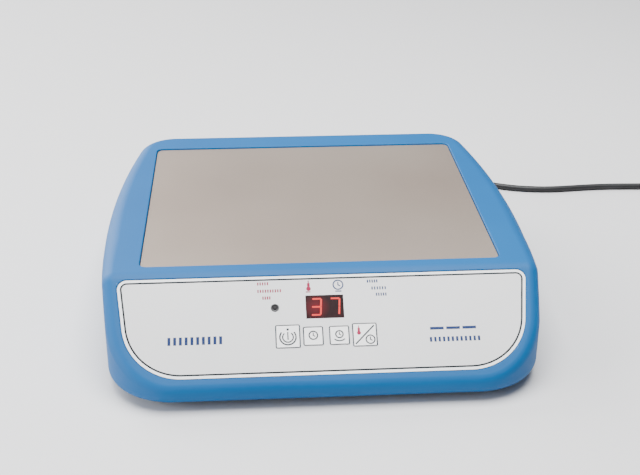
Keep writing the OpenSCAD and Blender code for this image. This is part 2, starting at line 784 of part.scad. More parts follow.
module coil_tie() color([0.20, 0.20, 0.21]) {
    inner = coil_in_r - lead_r;
    width = coil_columns * lead_d;
    height = 2 * lead_d;
    band = 17;
    translate([coil_x, coil_y, 0]) rotate(225 - band / 2) rotate_extrude(angle = band, $fn = 96)
        difference() {
            translate([inner - tie_t, 0]) square([width + 2 * tie_t, height + 2 * tie_t]);
            translate([inner, tie_t]) square([width, height]);
        }
}

module cord_tail() color([0.08, 0.08, 0.09]) {
    tube(tail_route, lead_r);
}

module plug_body() color([0.08, 0.08, 0.09]) {
    translate(plug_at) rotate([90, 0, 0]) {
        cylinder(r1 = 3.2, r2 = 5, h = 16 + fine);
        difference() {
            translate([0, 0, 16]) linear_extrude(26) polygon([
                [-9, -7], [9, -7], [14, -2], [14, 2], [9, 7], [-9, 7], [-14, 2], [-14, -2]]);
            for (z = [21:4:29], s = [-1, 1]) translate([s * 14.6, 0, z]) box(2, 10, 0, 1.6);
        }
    }
}

module plug_pins() color([0.80, 0.80, 0.78]) {
    translate(plug_at) rotate([90, 0, 0]) for (s = [-1, 1]) translate([s * 9.5, 0, 42]) {
        rod(2, 0, 17.2);
        translate([0, 0, 17.2 - fine]) cylinder(r1 = 2, r2 = 0.9, h = 1.8);
    }
}

top_housing();
base_pan();
base_screws();
rubber_feet();
foot_screws();
heating_plate();
plate_gasket();
heater_mat();
insulation_board();
backing_tray();
flange_spacers();
tray_screws();
temperature_sensor();
sensor_clip();
thermal_cutout();
panel_overlay();
display_filter();
display_module();
lamp_bezel();
lamp_lens();
indicator_led();
key_power();
key_timer();
key_interval();
key_mode();
plunger_power();
plunger_timer();
plunger_interval();
plunger_mode();
switch_bodies();
control_board();
board_screws();
controller_chip();
buzzer();
board_header();
ribbon_cable();
power_board();
power_spacers();
power_screws();
transformer();
heat_sink();
heater_triac();
fuse_clips();
fuse();
terminal_block();
capacitors();
heater_wires();
mains_wires();
cord_clamp();
clamp_screws();
inner_lead();
strain_relief();
mains_cord();
cord_coil();
coil_tie();
cord_tail();
plug_body();
plug_pins();
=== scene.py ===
# %% [markdown]
# # A laboratory warming plate
# A warming plate keeps culture vessels at body temperature on a heated metal surface. It
# is a low moulded housing with a sloped panel, and a slim mains lead at its rear. Its frame,
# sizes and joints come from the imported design, and everything here is built around them.

# %% Load the frame
import json
import math

import bmesh
import bpy
from mathutils import Matrix, Vector
from mathutils.bvhtree import BVHTree
from mathutils.interpolate import poly_3d_calc


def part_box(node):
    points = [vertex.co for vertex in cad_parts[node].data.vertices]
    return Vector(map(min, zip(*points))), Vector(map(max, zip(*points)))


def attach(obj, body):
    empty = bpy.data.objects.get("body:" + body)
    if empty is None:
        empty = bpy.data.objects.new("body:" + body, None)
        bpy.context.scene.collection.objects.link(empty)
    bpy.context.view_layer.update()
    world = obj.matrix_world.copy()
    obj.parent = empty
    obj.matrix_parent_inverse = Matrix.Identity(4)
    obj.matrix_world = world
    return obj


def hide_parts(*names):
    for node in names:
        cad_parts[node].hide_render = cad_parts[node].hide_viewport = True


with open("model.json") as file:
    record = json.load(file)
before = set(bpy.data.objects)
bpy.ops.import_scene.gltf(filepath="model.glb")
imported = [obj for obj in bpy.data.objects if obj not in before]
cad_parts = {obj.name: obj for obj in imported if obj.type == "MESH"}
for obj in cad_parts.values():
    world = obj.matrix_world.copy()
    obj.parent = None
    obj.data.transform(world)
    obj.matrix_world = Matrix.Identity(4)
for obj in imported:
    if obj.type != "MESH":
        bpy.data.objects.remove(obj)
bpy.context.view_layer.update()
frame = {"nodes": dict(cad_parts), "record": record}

# %% [markdown]
# ## Camera and studio
# The camera comes first, because the lead's unseen length has to stay outside its view.
# It stands low in front of the object, a little to the left, and looks slightly right. A
# pale floor that sweeps to the horizon and a few large soft lights keep the colours true.

# %% Camera
CAMERA_AT = (-0.0423, -0.6538, 0.3533)
CAMERA_TURN = math.radians(4.08)
CAMERA_DIP = math.radians(25.73)
CAMERA_ROLL = math.radians(0.25)

camera_data = bpy.data.cameras.new("camera")
camera_data.lens = 64.72
camera_data.sensor_width = 36.0
camera = bpy.data.objects.new("camera", camera_data)
camera.matrix_world = (
    Matrix.Translation(CAMERA_AT)
    @ Matrix.Rotation(-CAMERA_TURN, 4, "Z")
    @ Matrix.Rotation(math.pi / 2 - CAMERA_DIP, 4, "X")
    @ Matrix.Rotation(CAMERA_ROLL, 4, "Z")
)
bpy.context.scene.collection.objects.link(camera)
bpy.context.scene.camera = camera

# %% Floor and lights
def soft_light(name, place, aim, size, power, shape="DISK"):
    data = bpy.data.lights.new(name, "AREA")
    data.shape = shape
    data.size = size
    data.energy = power
    light = bpy.data.objects.new(name, data)
    turn = (Vector(aim) - Vector(place)).to_track_quat("-Z", "Y").to_matrix().to_4x4()
    light.matrix_world = Matrix.Translation(place) @ turn
    bpy.context.scene.collection.objects.link(light)


def plain(name, colour, roughness):
    material = bpy.data.materials.new(name)
    material.use_nodes = True
    shader = material.node_tree.nodes["Principled BSDF"]
    shader.inputs["Base Color"].default_value = (*colour, 1)
    shader.inputs["Roughness"].default_value = roughness
    return material


floor_mesh = bpy.data.meshes.new("floor")
floor_shape = bmesh.new()
bmesh.ops.create_grid(floor_shape, x_segments=1, y_segments=1, size=4.0)
floor_shape.to_mesh(floor_mesh)
floor_shape.free()
floor = bpy.data.objects.new("floor", floor_mesh)
floor_mesh.materials.append(plain("floor_paper", (0.70, 0.70, 0.71), 0.75))
bpy.context.scene.collection.objects.link(floor)

soft_light("overhead", (0, -0.08, 1.35), (0, -0.08, 0), 1.0, 48, "SQUARE")
soft_light("back_left", (-1.2, 1.4, 0.85), (0, 0, 0), 1.6, 55)
soft_light("left_side", (-1.5, -0.5, 0.5), (0, 0, 0), 1.0, 24)

world = bpy.data.worlds.new("studio")
world.use_nodes = True
world.node_tree.nodes["Background"].inputs["Color"].default_value = (0.95, 0.97, 1.0, 1)
world.node_tree.nodes["Background"].inputs["Strength"].default_value = 0.25
bpy.context.scene.world = world

# %% [markdown]
# ## Shared surface effects
# Moulded and machined surfaces are never one flat colour. Three effects do most of the
# work here: a fine grain, slow cloudy changes in tone, and edges rubbed lighter by hands.
# Each is a node group, built once, so every material sets only its own scale and depth.

# %% Node groups
def make_group(name, inputs, outputs):
    group = bpy.data.node_groups.new(name, "ShaderNodeTree")
    for label, value in inputs:
        socket = group.interface.new_socket(label, in_out="INPUT", socket_type="NodeSocketFloat")
        socket.default_value = value
    for label in outputs:
        group.interface.new_socket(label, in_out="OUTPUT", socket_type="NodeSocketFloat")
    return group, group.nodes.new("NodeGroupInput"), group.nodes.new("NodeGroupOutput")


def math_node(tree, operation, a, b):
    node = tree.nodes.new("ShaderNodeMath")
    node.operation = operation
    for socket, value in zip(node.inputs, (a, b)):
        if isinstance(value, (int, float)):
            socket.default_value = value
        else:
            tree.links.new(value, socket)
    return node.outputs[0]


def noise_node(tree, scale, detail, roughness=0.5):
    place = tree.nodes.new("ShaderNodeTexCoord")
    noise = tree.nodes.new("ShaderNodeTexNoise")
    noise.inputs["Detail"].default_value = detail
    noise.inputs["Roughness"].default_value = roughness
    tree.links.new(place.outputs["Object"], noise.inputs["Vector"])
    if isinstance(scale, (int, float)):
        noise.inputs["Scale"].default_value = scale
    else:
        tree.links.new(scale, noise.inputs["Scale"])
    return noise.outputs["Fac"]


def grain_group():
    group, given, out = make_group(
        "moulded_grain", [("Scale", 900.0), ("Cloud Scale", 14.0)], ["Grain", "Cloud"])
    group.links.new(noise_node(group, given.outputs["Scale"], 3.0, 0.6), out.inputs["Grain"])
    group.links.new(noise_node(group, given.outputs["Cloud Scale"], 2.0), out.inputs["Cloud"])
    return group


def wear_group():
    group, given, out = make_group(
        "rubbed_edges", [("Start", 0.52), ("Softness", 0.06)], ["Mask"])
    geometry = group.nodes.new("ShaderNodeNewGeometry")
    end = math_node(group, "ADD", given.outputs["Start"], given.outputs["Softness"])
    edge = group.nodes.new("ShaderNodeMapRange")
    group.links.new(geometry.outputs["Pointiness"], edge.inputs["Value"])
    group.links.new(given.outputs["Start"], edge.inputs["From Min"])
    group.links.new(end, edge.inputs["From Max"])
    broken = math_node(group, "MULTIPLY", edge.outputs["Result"], noise_node(group, 220.0, 4.0))
    group.links.new(broken, out.inputs["Mask"])
    return group


GRAIN = grain_group()
WEAR = wear_group()

# %% [markdown]
# ## A recipe for materials
# Most finishes here differ only in colour, gloss, grain and wear. One function wires the
# groups to a Principled shader: the cloud shifts the colour between a dark and a light
# tone, the grain changes the gloss and raises the surface, and wear lightens the edges.

# %% Material recipe
def srgb(red, green, blue):
    def linear(value):
        value /= 255
        return value / 12.92 if value <= 0.04045 else ((value + 0.055) / 1.055) ** 2.4
    return linear(red), linear(green), linear(blue)


def mixed(tree, factor, first, second):
    mix = tree.nodes.new("ShaderNodeMix")
    mix.data_type = "RGBA"
    tree.links.new(factor, mix.inputs["Factor"])
    for label, colour in (("A_Color", first), ("B_Color", second)):
        socket = next(item for item in mix.inputs if item.identifier == label)
        if isinstance(colour, tuple):
            socket.default_value = (*colour, 1)
        else:
            tree.links.new(colour, socket)
    return next(item for item in mix.outputs if item.identifier == "Result_Color")


def ranged(tree, value, low, high):
    node = tree.nodes.new("ShaderNodeMapRange")
    node.inputs["From Min"].default_value = 0.3
    node.inputs["From Max"].default_value = 0.7
    node.inputs["To Min"].default_value = low
    node.inputs["To Max"].default_value = high
    tree.links.new(value, node.inputs["Value"])
    return node.outputs["Result"]


def finish_of(name, dark, light, gloss, grain=900.0, cloud=14.0, bump=0.1, depth=0.0001,
              wear=None, wear_start=0.53, **sockets):
    material = bpy.data.materials.new(name)
    material.use_nodes = True
    tree = material.node_tree
    shader = tree.nodes["Principled BSDF"]
    effect = tree.nodes.new("ShaderNodeGroup")
    effect.node_tree = GRAIN
    effect.inputs["Scale"].default_value = grain
    effect.inputs["Cloud Scale"].default_value = cloud
    spread = ranged(tree, effect.outputs["Cloud"], 0.0, 1.0)
    colour = mixed(tree, spread, dark, light)
    if wear:
        rubbed = tree.nodes.new("ShaderNodeGroup")
        rubbed.node_tree = WEAR
        rubbed.inputs["Start"].default_value = wear_start
        colour = mixed(tree, rubbed.outputs["Mask"], colour, wear)
    tree.links.new(colour, shader.inputs["Base Color"])
    tree.links.new(ranged(tree, effect.outputs["Grain"], *gloss), shader.inputs["Roughness"])
    raised = tree.nodes.new("ShaderNodeBump")
    raised.inputs["Strength"].default_value = bump
    raised.inputs["Distance"].default_value = depth
    tree.links.new(effect.outputs["Grain"], raised.inputs["Height"])
    tree.links.new(raised.outputs["Normal"], shader.inputs["Normal"])
    for label, value in sockets.items():
        shader.inputs[label.replace("_", " ")].default_value = value
    return material


# %% [markdown]
# ## Making a finished piece
# Every piece is a mesh whose object stays at the origin, with its place in its mesh, as
# the design's own parts have. One helper turns a bmesh into such an object, gives it a
# material, hangs it on the empty of the body it rides on, and hides the part it stands for.

# %% Piece helper
def finished_piece(name, shape, material, body="housing", stands_for=(), smooth=35.0, weighted=True):
    bmesh.ops.remove_doubles(shape, verts=shape.verts, dist=1e-7)
    bmesh.ops.recalc_face_normals(shape, faces=shape.faces)
    mesh = bpy.data.meshes.new(name)
    shape.to_mesh(mesh)
    shape.free()
    mesh.shade_smooth()
    mesh.set_sharp_from_angle(angle=math.radians(smooth))
    mesh.materials.append(material)
    piece = bpy.data.objects.new(name, mesh)
    bpy.context.scene.collection.objects.link(piece)
    if weighted:
        even = piece.modifiers.new("even_shading", "WEIGHTED_NORMAL")
        even.keep_sharp = True
    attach(piece, body)
    if stands_for:
        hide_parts(*stands_for)
    return piece


# %% [markdown]
# ## The lead
# The lead leaves the rear wall, falls to the bench and runs off to the right. The rest
# of its 1.7 m is wound for storage into a flat coil of two layers, just past the view. It
# is a curve with a round section, so its own line is its true length. The route repeats
# the design's points, and a loop works out the turns: inwards below, outwards above.

# %% Lead route
LEAD_RADIUS = 0.00225
LEAD_EXIT = (0.070, 0.159, 0.016)
LEAD_ROUTE = [
    (0.070, 0.159, 0.016), (0.0705, 0.166, 0.0156), (0.073, 0.173, 0.014),
    (0.078, 0.179, 0.0115), (0.086, 0.183, 0.0085), (0.096, 0.184, 0.0055),
    (0.107, 0.182, 0.0034), (0.118, 0.1775, 0.0024), (0.128, 0.1715, 0.0023),
    (0.138, 0.165, 0.0023), (0.148, 0.159, 0.0023), (0.159, 0.154, 0.0023),
    (0.170, 0.1505, 0.0023), (0.181, 0.1485, 0.0023), (0.192, 0.1476, 0.0023),
    (0.204, 0.1482, 0.0023), (0.216, 0.1492, 0.0023), (0.228, 0.150, 0.0023),
    (0.240, 0.1502, 0.0023), (0.252, 0.1498, 0.0023), (0.264, 0.149, 0.0024),
    (0.276, 0.1481, 0.0027), (0.289, 0.1474, 0.0030), (0.302, 0.1472, 0.00305),
]
TAIL_ROUTE = [
    (0.3382, 0.111, 0.00755), (0.3384, 0.102, 0.0075), (0.3388, 0.093, 0.0072),
    (0.3394, 0.084, 0.007), (0.340, 0.074, 0.007),
]
COIL_AT = (0.302, 0.111)
COIL_OUTER = 0.0362
COIL_COLUMNS = 5
COIL_LOW = 0.00305
TURN_STEPS = 28


def eased(points, steps=4):
    """A smooth line through the points of a route."""
    line = []
    for i in range(len(points) - 1):
        before = Vector(points[max(i - 1, 0)])
        start, end = Vector(points[i]), Vector(points[i + 1])
        after = Vector(points[min(i + 2, len(points) - 1)])
        for k in range(steps):
            t = k / steps
            line.append(0.5 * (2 * start + (end - before) * t
                               + (2 * before - 5 * start + 4 * end - after) * t * t
                               + (3 * start - before - 3 * end + after) * t ** 3))
    return line


def coil_turns():
    """Turns of the coil, clockwise seen from above, from its outer lower turn to its outer upper turn."""
    pitch = 2 * LEAD_RADIUS
    spiral = COIL_COLUMNS - 1
    total = 2 * spiral + 0.25
    line = []
    for i in range(int(total * TURN_STEPS)):
        turn = i / TURN_STEPS
        climb = min(max((turn - spiral) / 0.25, 0), 1)
        if turn <= spiral:
            radius = COIL_OUTER - turn * pitch
        else:
            radius = COIL_OUTER - spiral * pitch + max(turn - spiral - 0.25, 0) * pitch
        angle = math.radians(90 - 360 * turn)
        rise = pitch * (3 * climb ** 2 - 2 * climb ** 3)
        line.append(Vector((COIL_AT[0] + radius * math.cos(angle),
                            COIL_AT[1] + radius * math.sin(angle), COIL_LOW + rise)))
    return line


lead_line = eased(LEAD_ROUTE) + coil_turns() + eased(TAIL_ROUTE) + [Vector(TAIL_ROUTE[-1])]
lead_length = sum((b - a).length for a, b in zip(lead_line, lead_line[1:]))
print("lead: %.3f m in %d points" % (lead_length, len(lead_line)))

# %% Lead curve
black_vinyl = finish_of("black_vinyl", srgb(20, 20, 22), srgb(33, 33, 36), (0.42, 0.58),
                        grain=1400.0, cloud=60.0, bump=0.15, Specular_IOR_Level=0.45)
lead_curve = bpy.data.curves.new("mains_lead", "CURVE")
lead_curve.dimensions = "3D"
lead_curve.bevel_depth = LEAD_RADIUS
lead_curve.bevel_resolution = 4
lead_curve.use_fill_caps = True
lead_spline = lead_curve.splines.new("POLY")
lead_spline.points.add(len(lead_line) - 1)
for point, place in zip(lead_spline.points, lead_line):
    point.co = (*place, 1)
lead_spline.use_smooth = True
lead_curve.materials.append(black_vinyl)
lead = bpy.data.objects.new("mains_lead", lead_curve)
bpy.context.scene.collection.objects.link(lead)
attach(lead, "housing")
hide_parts("mains_cord", "cord_coil", "cord_tail")

# %% [markdown]
# ## Strain relief, plug and tie
# A moulded boot keeps the lead from kinking at the wall: it tapers, and rings cut into
# it let it bend. It is a turned shape, so its outline is drawn once and spun about the
# lead's line. The plug's body is a bevelled block with grip ridges and a turned neck.

# %% Turned shapes
def turned(shape, profile, frame_matrix, steps=48):
    """Spins a closed half outline of (radius, height) about the Z axis of frame_matrix."""
    verts = [shape.verts.new((radius, 0, height)) for radius, height in profile]
    edges = [shape.edges.new(pair) for pair in zip(verts, verts[1:])]
    made = bmesh.ops.spin(shape, geom=verts + edges, cent=(0, 0, 0), axis=(0, 0, 1),
                          angle=2 * math.pi, steps=steps, use_merge=True)
    bmesh.ops.remove_doubles(shape, verts=shape.verts, dist=1e-6)
    bmesh.ops.recalc_face_normals(shape, faces=shape.faces)
    bmesh.ops.transform(shape, matrix=frame_matrix, verts=shape.verts)
    return made


def along_y(place, sign=1):
    """A frame at place whose Z axis points along +Y or -Y."""
    return Matrix.Translation(place) @ Matrix.Rotation(-sign * math.pi / 2, 4, "X")


rear_wall = 0.135
boot_length = LEAD_EXIT[1] - rear_wall
relief_shape = bmesh.new()
boot_outline = [(0, -0.005), (0.006, -0.005), (0.006, -0.003), (0.0045, -0.003), (0.0045, 0),
                (0.0062, 0), (0.0066, 0.0004), (0.0066, 0.0016), (0.0062, 0.002)]
RINGS = 5
ring_step = (boot_length - 0.006) / RINGS
for ring in range(RINGS):
    low = 0.003 + ring * ring_step
    reach = 0.0052 - 0.0020 * ring / RINGS
    boot_outline += [(reach, low), (reach - 0.0001, low + 0.6 * ring_step),
                     (reach - 0.0011, low + 0.66 * ring_step), (reach - 0.0012, low + 0.94 * ring_step)]
boot_outline += [(0.0032, boot_length - 0.003), (0.0030, boot_length - 0.0004),
                 (0.0026, boot_length), (0, boot_length)]
turned(relief_shape, boot_outline, along_y((LEAD_EXIT[0], rear_wall, LEAD_EXIT[2])))
relief = finished_piece("lead_boot", relief_shape, black_vinyl, stands_for=("strain_relief",))

# %% Plug
PLUG_AT = TAIL_ROUTE[-1]
plug_frame = along_y(PLUG_AT, -1)


def block(shape, size, centre, matrix=Matrix(), bevel=0.0, segments=3):
    """A block of the given size, with all of its edges rounded by bevel."""
    made = bmesh.ops.create_cube(shape, size=1.0)
    verts = made["verts"]
    bmesh.ops.scale(shape, vec=size, verts=verts)
    bmesh.ops.translate(shape, vec=centre, verts=verts)
    bmesh.ops.transform(shape, matrix=matrix, verts=verts)
    if bevel:
        edges = list({edge for vert in verts for edge in vert.link_edges})
        bmesh.ops.bevel(shape, geom=edges, offset=bevel, offset_type="OFFSET", segments=segments,
                        profile=0.5, affect="EDGES", material=-1, clamp_overlap=True)


plug_shape = bmesh.new()
neck_outline = [(0, 0), (0.0030, 0), (0.0033, 0.0004), (0.0038, 0.006), (0.0034, 0.0065), (0.0034, 0.0075),
                (0.0040, 0.008), (0.0044, 0.012), (0.0039, 0.0125), (0.0039, 0.0135), (0.0047, 0.014),
                (0.0051, 0.0175), (0, 0.0175)]
turned(plug_shape, neck_outline, plug_frame)
block(plug_shape, (0.028, 0.014, 0.026), (0, 0, 0.029), plug_frame, 0.0038, 6)
for side in (-1, 1):
    for ridge in range(4):
        block(plug_shape, (0.0014, 0.008, 0.0016), (side * 0.0138, 0, 0.022 + 0.004 * ridge),
              plug_frame, 0.0004, 2)
plug = finished_piece("moulded_plug", plug_shape, black_vinyl, stands_for=("plug_body",))

nickel = finish_of("nickel_plate", srgb(196, 196, 192), srgb(214, 214, 210), (0.16, 0.30),
                   grain=500.0, cloud=80.0, bump=0.04, Metallic=1.0)
pins_shape = bmesh.new()
for side in (-1, 1):
    pin_shape = bmesh.new()
    turned(pin_shape, [(0, 0), (0.002, 0), (0.002, 0.0165), (0.0017, 0.0180), (0.0010, 0.0188), (0, 0.019)],
           plug_frame @ Matrix.Translation((side * 0.0095, 0, 0.042)), 32)
    pin_mesh = bpy.data.meshes.new("pin")
    pin_shape.to_mesh(pin_mesh)
    pin_shape.free()
    pins_shape.from_mesh(pin_mesh)
    bpy.data.meshes.remove(pin_mesh)
pins = finished_piece("contact_pins", pins_shape, nickel, stands_for=("plug_pins",))

# %% Coil tie
TIE_T = 0.0008
woven_strap = finish_of("woven_strap", srgb(34, 34, 37), srgb(58, 58, 62), (0.75, 0.95),
                        grain=2400.0, cloud=300.0, bump=0.5, depth=0.0003)
tie_shape = bmesh.new()
inner = COIL_OUTER - (COIL_COLUMNS - 1) * 2 * LEAD_RADIUS - LEAD_RADIUS
outer = COIL_OUTER + LEAD_RADIUS
roof = 4 * LEAD_RADIUS + TIE_T
tie_sweep = math.radians(17)
tie_start = Matrix.Rotation(math.radians(225) - tie_sweep / 2, 3, "Z")
for reach in (0, TIE_T):
    corners = [(inner - reach, TIE_T - reach), (outer + reach, TIE_T - reach),
               (outer + reach, roof + reach), (inner - reach, roof + reach)]
    verts = [tie_shape.verts.new(tie_start @ Vector((radius, 0, height))) for radius, height in corners]
    for first, second in zip(verts, verts[1:] + verts[:1]):
        tie_shape.edges.new((first, second))
start_edges = tie_shape.edges[:]
spun = bmesh.ops.spin(tie_shape, geom=tie_shape.verts[:] + start_edges, cent=(0, 0, 0), axis=(0, 0, 1),
                      angle=tie_sweep, steps=10)
end_edges = [item for item in spun["geom_last"] if isinstance(item, bmesh.types.BMEdge)]
bmesh.ops.bridge_loops(tie_shape, edges=start_edges)
bmesh.ops.bridge_loops(tie_shape, edges=end_edges)
bmesh.ops.translate(tie_shape, vec=(*COIL_AT, 0), verts=tie_shape.verts)
tie = finished_piece("lead_tie", tie_shape, woven_strap, stands_for=("coil_tie",))

# %% [markdown]
# ## The housing's form
# The housing is one injection moulding: a flat top that runs over a rounded crease into
# a slope, with bulging sides and soft edges. It could be a bevelled block, but the edge's
# radius changes on the way round. So rows of points follow the edge, each row a closed
# loop, and bridging the rows gives a clean skin. The same form, 3 mm smaller, hollows it.

# %% Housing sizes and stations
house_low, house_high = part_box("top_housing")
HALF_W, HALF_D = house_high[0], house_high[1]
FOOT_H, BODY_H = house_low[2], house_high[2]
SIDE_R, REAR_R, FRONT_R = 0.700, 0.026, 0.038
TOP_R, NOSE_R, CREASE_R = 0.010, 0.007, 0.011
SIDE_Y, CREASE_Y = -0.008, -0.0835
SLOPE = math.radians(40)
WALL = 0.003
NEAR = 1e-5

side_x = HALF_W - SIDE_R
rear_y = HALF_D - REAR_R
front_y = FRONT_R - HALF_D
rear_x = math.sqrt((SIDE_R - REAR_R) ** 2 - (rear_y - SIDE_Y) ** 2) + side_x
front_x = math.sqrt((SIDE_R - FRONT_R) ** 2 - (front_y - SIDE_Y) ** 2) + side_x
rear_turn = math.atan2(rear_y - SIDE_Y, rear_x - side_x)
front_turn = math.atan2(front_y - SIDE_Y, front_x - side_x)
crease_mid = CREASE_Y + CREASE_R * math.tan(SLOPE / 2)
crease_low = crease_mid - (CREASE_R - NOSE_R) * math.sin(SLOPE)


def side_turn(y):
    return math.asin((y - SIDE_Y) / (SIDE_R - NOSE_R))


def arc_stations(centre, radius, start, end, steps, last=0):
    return [(centre, radius, start + (end - start) * i / steps) for i in range(steps + last)]


half_round = (
    arc_stations((front_x, front_y), FRONT_R, -math.pi / 2, front_turn, 24)
    + arc_stations((side_x, SIDE_Y), SIDE_R, front_turn, side_turn(crease_low), 2)
    + arc_stations((side_x, SIDE_Y), SIDE_R, side_turn(crease_low), side_turn(crease_mid), 8)
    + arc_stations((side_x, SIDE_Y), SIDE_R, side_turn(crease_mid), rear_turn, 18)
    + arc_stations((rear_x, rear_y), REAR_R, rear_turn, math.pi / 2, 20, 1)
)
stations = half_round + [((-c[0], c[1]), r, math.pi - a) for c, r, a in reversed(half_round)]
print("stations round the housing:", len(stations))

# %% Points of the housing's skin
def edge_radius(y):
    return NOSE_R + (TOP_R - NOSE_R) * max(0, min(1, (y - crease_mid - 0.002) / 0.040))


def tilt(y):
    if y >= crease_mid - NEAR:
        return 0
    if y <= crease_low + NEAR:
        return SLOPE
    return math.asin((crease_mid - y) / (CREASE_R - NOSE_R))


def edge_height(y, radius):
    if y >= crease_mid - NEAR:
        return BODY_H - radius
    if y <= crease_low + NEAR:
        return BODY_H + (y - CREASE_Y) * math.tan(SLOPE) - radius / math.cos(SLOPE)
    return BODY_H - CREASE_R + (CREASE_R - NOSE_R) * math.cos(tilt(y))


def high_point(station, inset, k):
    """From the wall at k = 0, over the upper edge, to the top at k = 1."""
    centre, radius, angle = station
    out = Vector((math.cos(angle), math.sin(angle), 0))
    round_r = edge_radius(centre[1] + radius * out.y)
    middle = Vector((*centre, 0)) + (radius - round_r) * out
    middle.z = edge_height(middle.y, round_r)
    up = Vector((0, -math.sin(tilt(middle.y)), math.cos(tilt(middle.y))))
    turn = out.angle(up)
    blend = (math.sin((1 - k) * turn) * out + math.sin(k * turn) * up) / math.sin(turn)
    return middle + (round_r - inset) * blend


def low_point(station, inset, drop):
    """The lower edge, drop radians below the wall."""
    centre, radius, angle = station
    out = Vector((math.cos(angle), math.sin(angle), 0))
    reach = radius - NOSE_R + (NOSE_R - inset) * math.cos(drop)
    height = FOOT_H + NOSE_R - (NOSE_R - inset) * math.sin(drop)
    return Vector((*centre, height)) + reach * out


# %% Bridging rows into a skin
def add_loop(shape, points):
    verts = [shape.verts.new(point) for point in points]
    return verts, [shape.edges.new(pair) for pair in zip(verts, verts[1:] + verts[:1])]


def bridge_rows(shape, rows, cap_top=True):
    """Joins rows of points into a skin, with a flat face on its first and on its last row."""
    loops = [add_loop(shape, row) for row in rows]
    for lower, upper in zip(loops, loops[1:]):
        bmesh.ops.bridge_loops(shape, edges=lower[1] + upper[1])
    shape.faces.new(loops[0][0])
    if cap_top:
        shape.faces.new(loops[-1][0])
    return loops


LOW_STEPS, HIGH_STEPS = 6, 12


def housing_form(inset):
    shape = bmesh.new()
    drops = [math.pi / 2 * (1 - i / LOW_STEPS) for i in range(LOW_STEPS + 1)]
    rows = [[low_point(s, inset, drop) for s in stations] for drop in drops]
    rows += [[high_point(s, inset, i / HIGH_STEPS) for s in stations] for i in range(HIGH_STEPS + 1)]
    loops = bridge_rows(shape, rows, cap_top=False)
    rim = loops[-1][0]
    for i in range(len(rim) // 2 - 1):
        shape.faces.new((rim[i], rim[i + 1], rim[-2 - i], rim[-1 - i]))
    bmesh.ops.recalc_face_normals(shape, faces=shape.faces)
    return shape


# %% [markdown]
# ## Smooth shading over a cut skin
# Cutting holes leaves long, uneven faces, and their averaged normals would show as
# streaks. The uncut form knows its true direction at every point: it is the way from
# the inner form's point to the outer form's. The cut mesh borrows those directions.

# %% Shading from the uncut form
skin, hollow = housing_form(0), housing_form(WALL)
skin_tree = BVHTree.FromBMesh(skin)
skin_faces = [[vert.index for vert in face.verts] for face in skin.faces]
skin_points = [vert.co.copy() for vert in skin.verts]
skin_facing = [(a.co - b.co).normalized() for a, b in zip(skin.verts, hollow.verts)]


def facing_at(point):
    place, _, index, _ = skin_tree.find_nearest(point)
    corners = skin_faces[index]
    shares = poly_3d_calc([skin_points[i] for i in corners], place)
    return sum((share * skin_facing[i] for share, i in zip(shares, corners)), Vector()).normalized()


def shade_like_skin(mesh):
    """Gives the faces of mesh that are still the form's skin the form's own shading."""
    facing = [corner.vector.copy() for corner in mesh.corner_normals]
    for face in mesh.polygons:
        place, normal, _, gap = skin_tree.find_nearest(face.center)
        if gap > 2 * NEAR or normal.dot(face.normal) < 0.98:
            continue
        for loop in face.loop_indices:
            facing[loop] = facing_at(mesh.vertices[mesh.loops[loop].vertex_index].co)
    mesh.normals_split_custom_set(facing)


# %% [markdown]
# ## Openings
# The moulding has a window for the plate, a shallow seat for the panel film, pockets
# for the keys, and an open underside. They are cut with Boolean modifiers, as a mould's
# inserts form them. The cutters for the plate's window and the film's seat flare at the
# top, so they leave a small round lip that catches the light and needs no bevel.

# %% Cutting helpers
def temporary(shape, materials=()):
    mesh = bpy.data.meshes.new("temporary")
    shape.to_mesh(mesh)
    for material in materials:
        mesh.materials.append(material)
    thing = bpy.data.objects.new("temporary", mesh)
    bpy.context.scene.collection.objects.link(thing)
    return thing


def carve(shape, cutter, operation="DIFFERENCE", materials=()):
    """Returns shape with cutter taken out of it, or joined to it."""
    bmesh.ops.recalc_face_normals(cutter, faces=cutter.faces)
    target, tool = temporary(shape, materials), temporary(cutter, materials)
    cut = target.modifiers.new("cut", "BOOLEAN")
    cut.operation = operation
    cut.object = tool
    cut.solver = "EXACT"
    seen = target.evaluated_get(bpy.context.evaluated_depsgraph_get())
    result = bmesh.new()
    result.from_mesh(seen.to_mesh())
    seen.to_mesh_clear()
    for thing in (target, tool):
        mesh = thing.data
        bpy.data.objects.remove(thing)
        bpy.data.meshes.remove(mesh)
    shape.free()
    cutter.free()
    return result


def arc_points(centre, radius, start, end, steps):
    return [(centre[0] + radius * math.cos(start + (end - start) * i / steps),
             centre[1] + radius * math.sin(start + (end - start) * i / steps)) for i in range(steps + 1)]


def rounded_rectangle(width, depth, radius, centre=(0, 0), steps=8):
    x, y = width / 2 - radius, depth / 2 - radius
    points = []
    for turn, (sx, sy) in enumerate(((1, -1), (1, 1), (-1, 1), (-1, -1))):
        start = math.pi / 2 * (turn - 1)
        corner = (centre[0] + sx * x, centre[1] + sy * y)
        points += arc_points(corner, radius, start, start + math.pi / 2, steps)
    return points


def at_height(points, height):
    return [Vector((x, y, height)) for x, y in points]


def cutter_with_lip(outline, low, top, lip, matrix=Matrix()):
    """A cutter from low to past top. outline(grow) gives its points; lip is the rounding it leaves."""
    shape = bmesh.new()
    rows = [at_height(outline(0), low), at_height(outline(0), top - lip)]
    for step in range(1, 5):
        angle = math.radians(20 * step)
        rows.append(at_height(outline(lip * (1 - math.cos(angle))), top - lip + lip * math.sin(angle)))
    rows.append(at_height(outline(1.6 * lip), top + lip / 2))
    bridge_rows(shape, rows)
    bmesh.ops.transform(shape, matrix=matrix, verts=shape.verts)
    return shape


def prism(points, low, high, matrix=Matrix()):
    shape = bmesh.new()
    bridge_rows(shape, [at_height(points, low), at_height(points, high)])
    bmesh.ops.transform(shape, matrix=matrix, verts=shape.verts)
    return shape


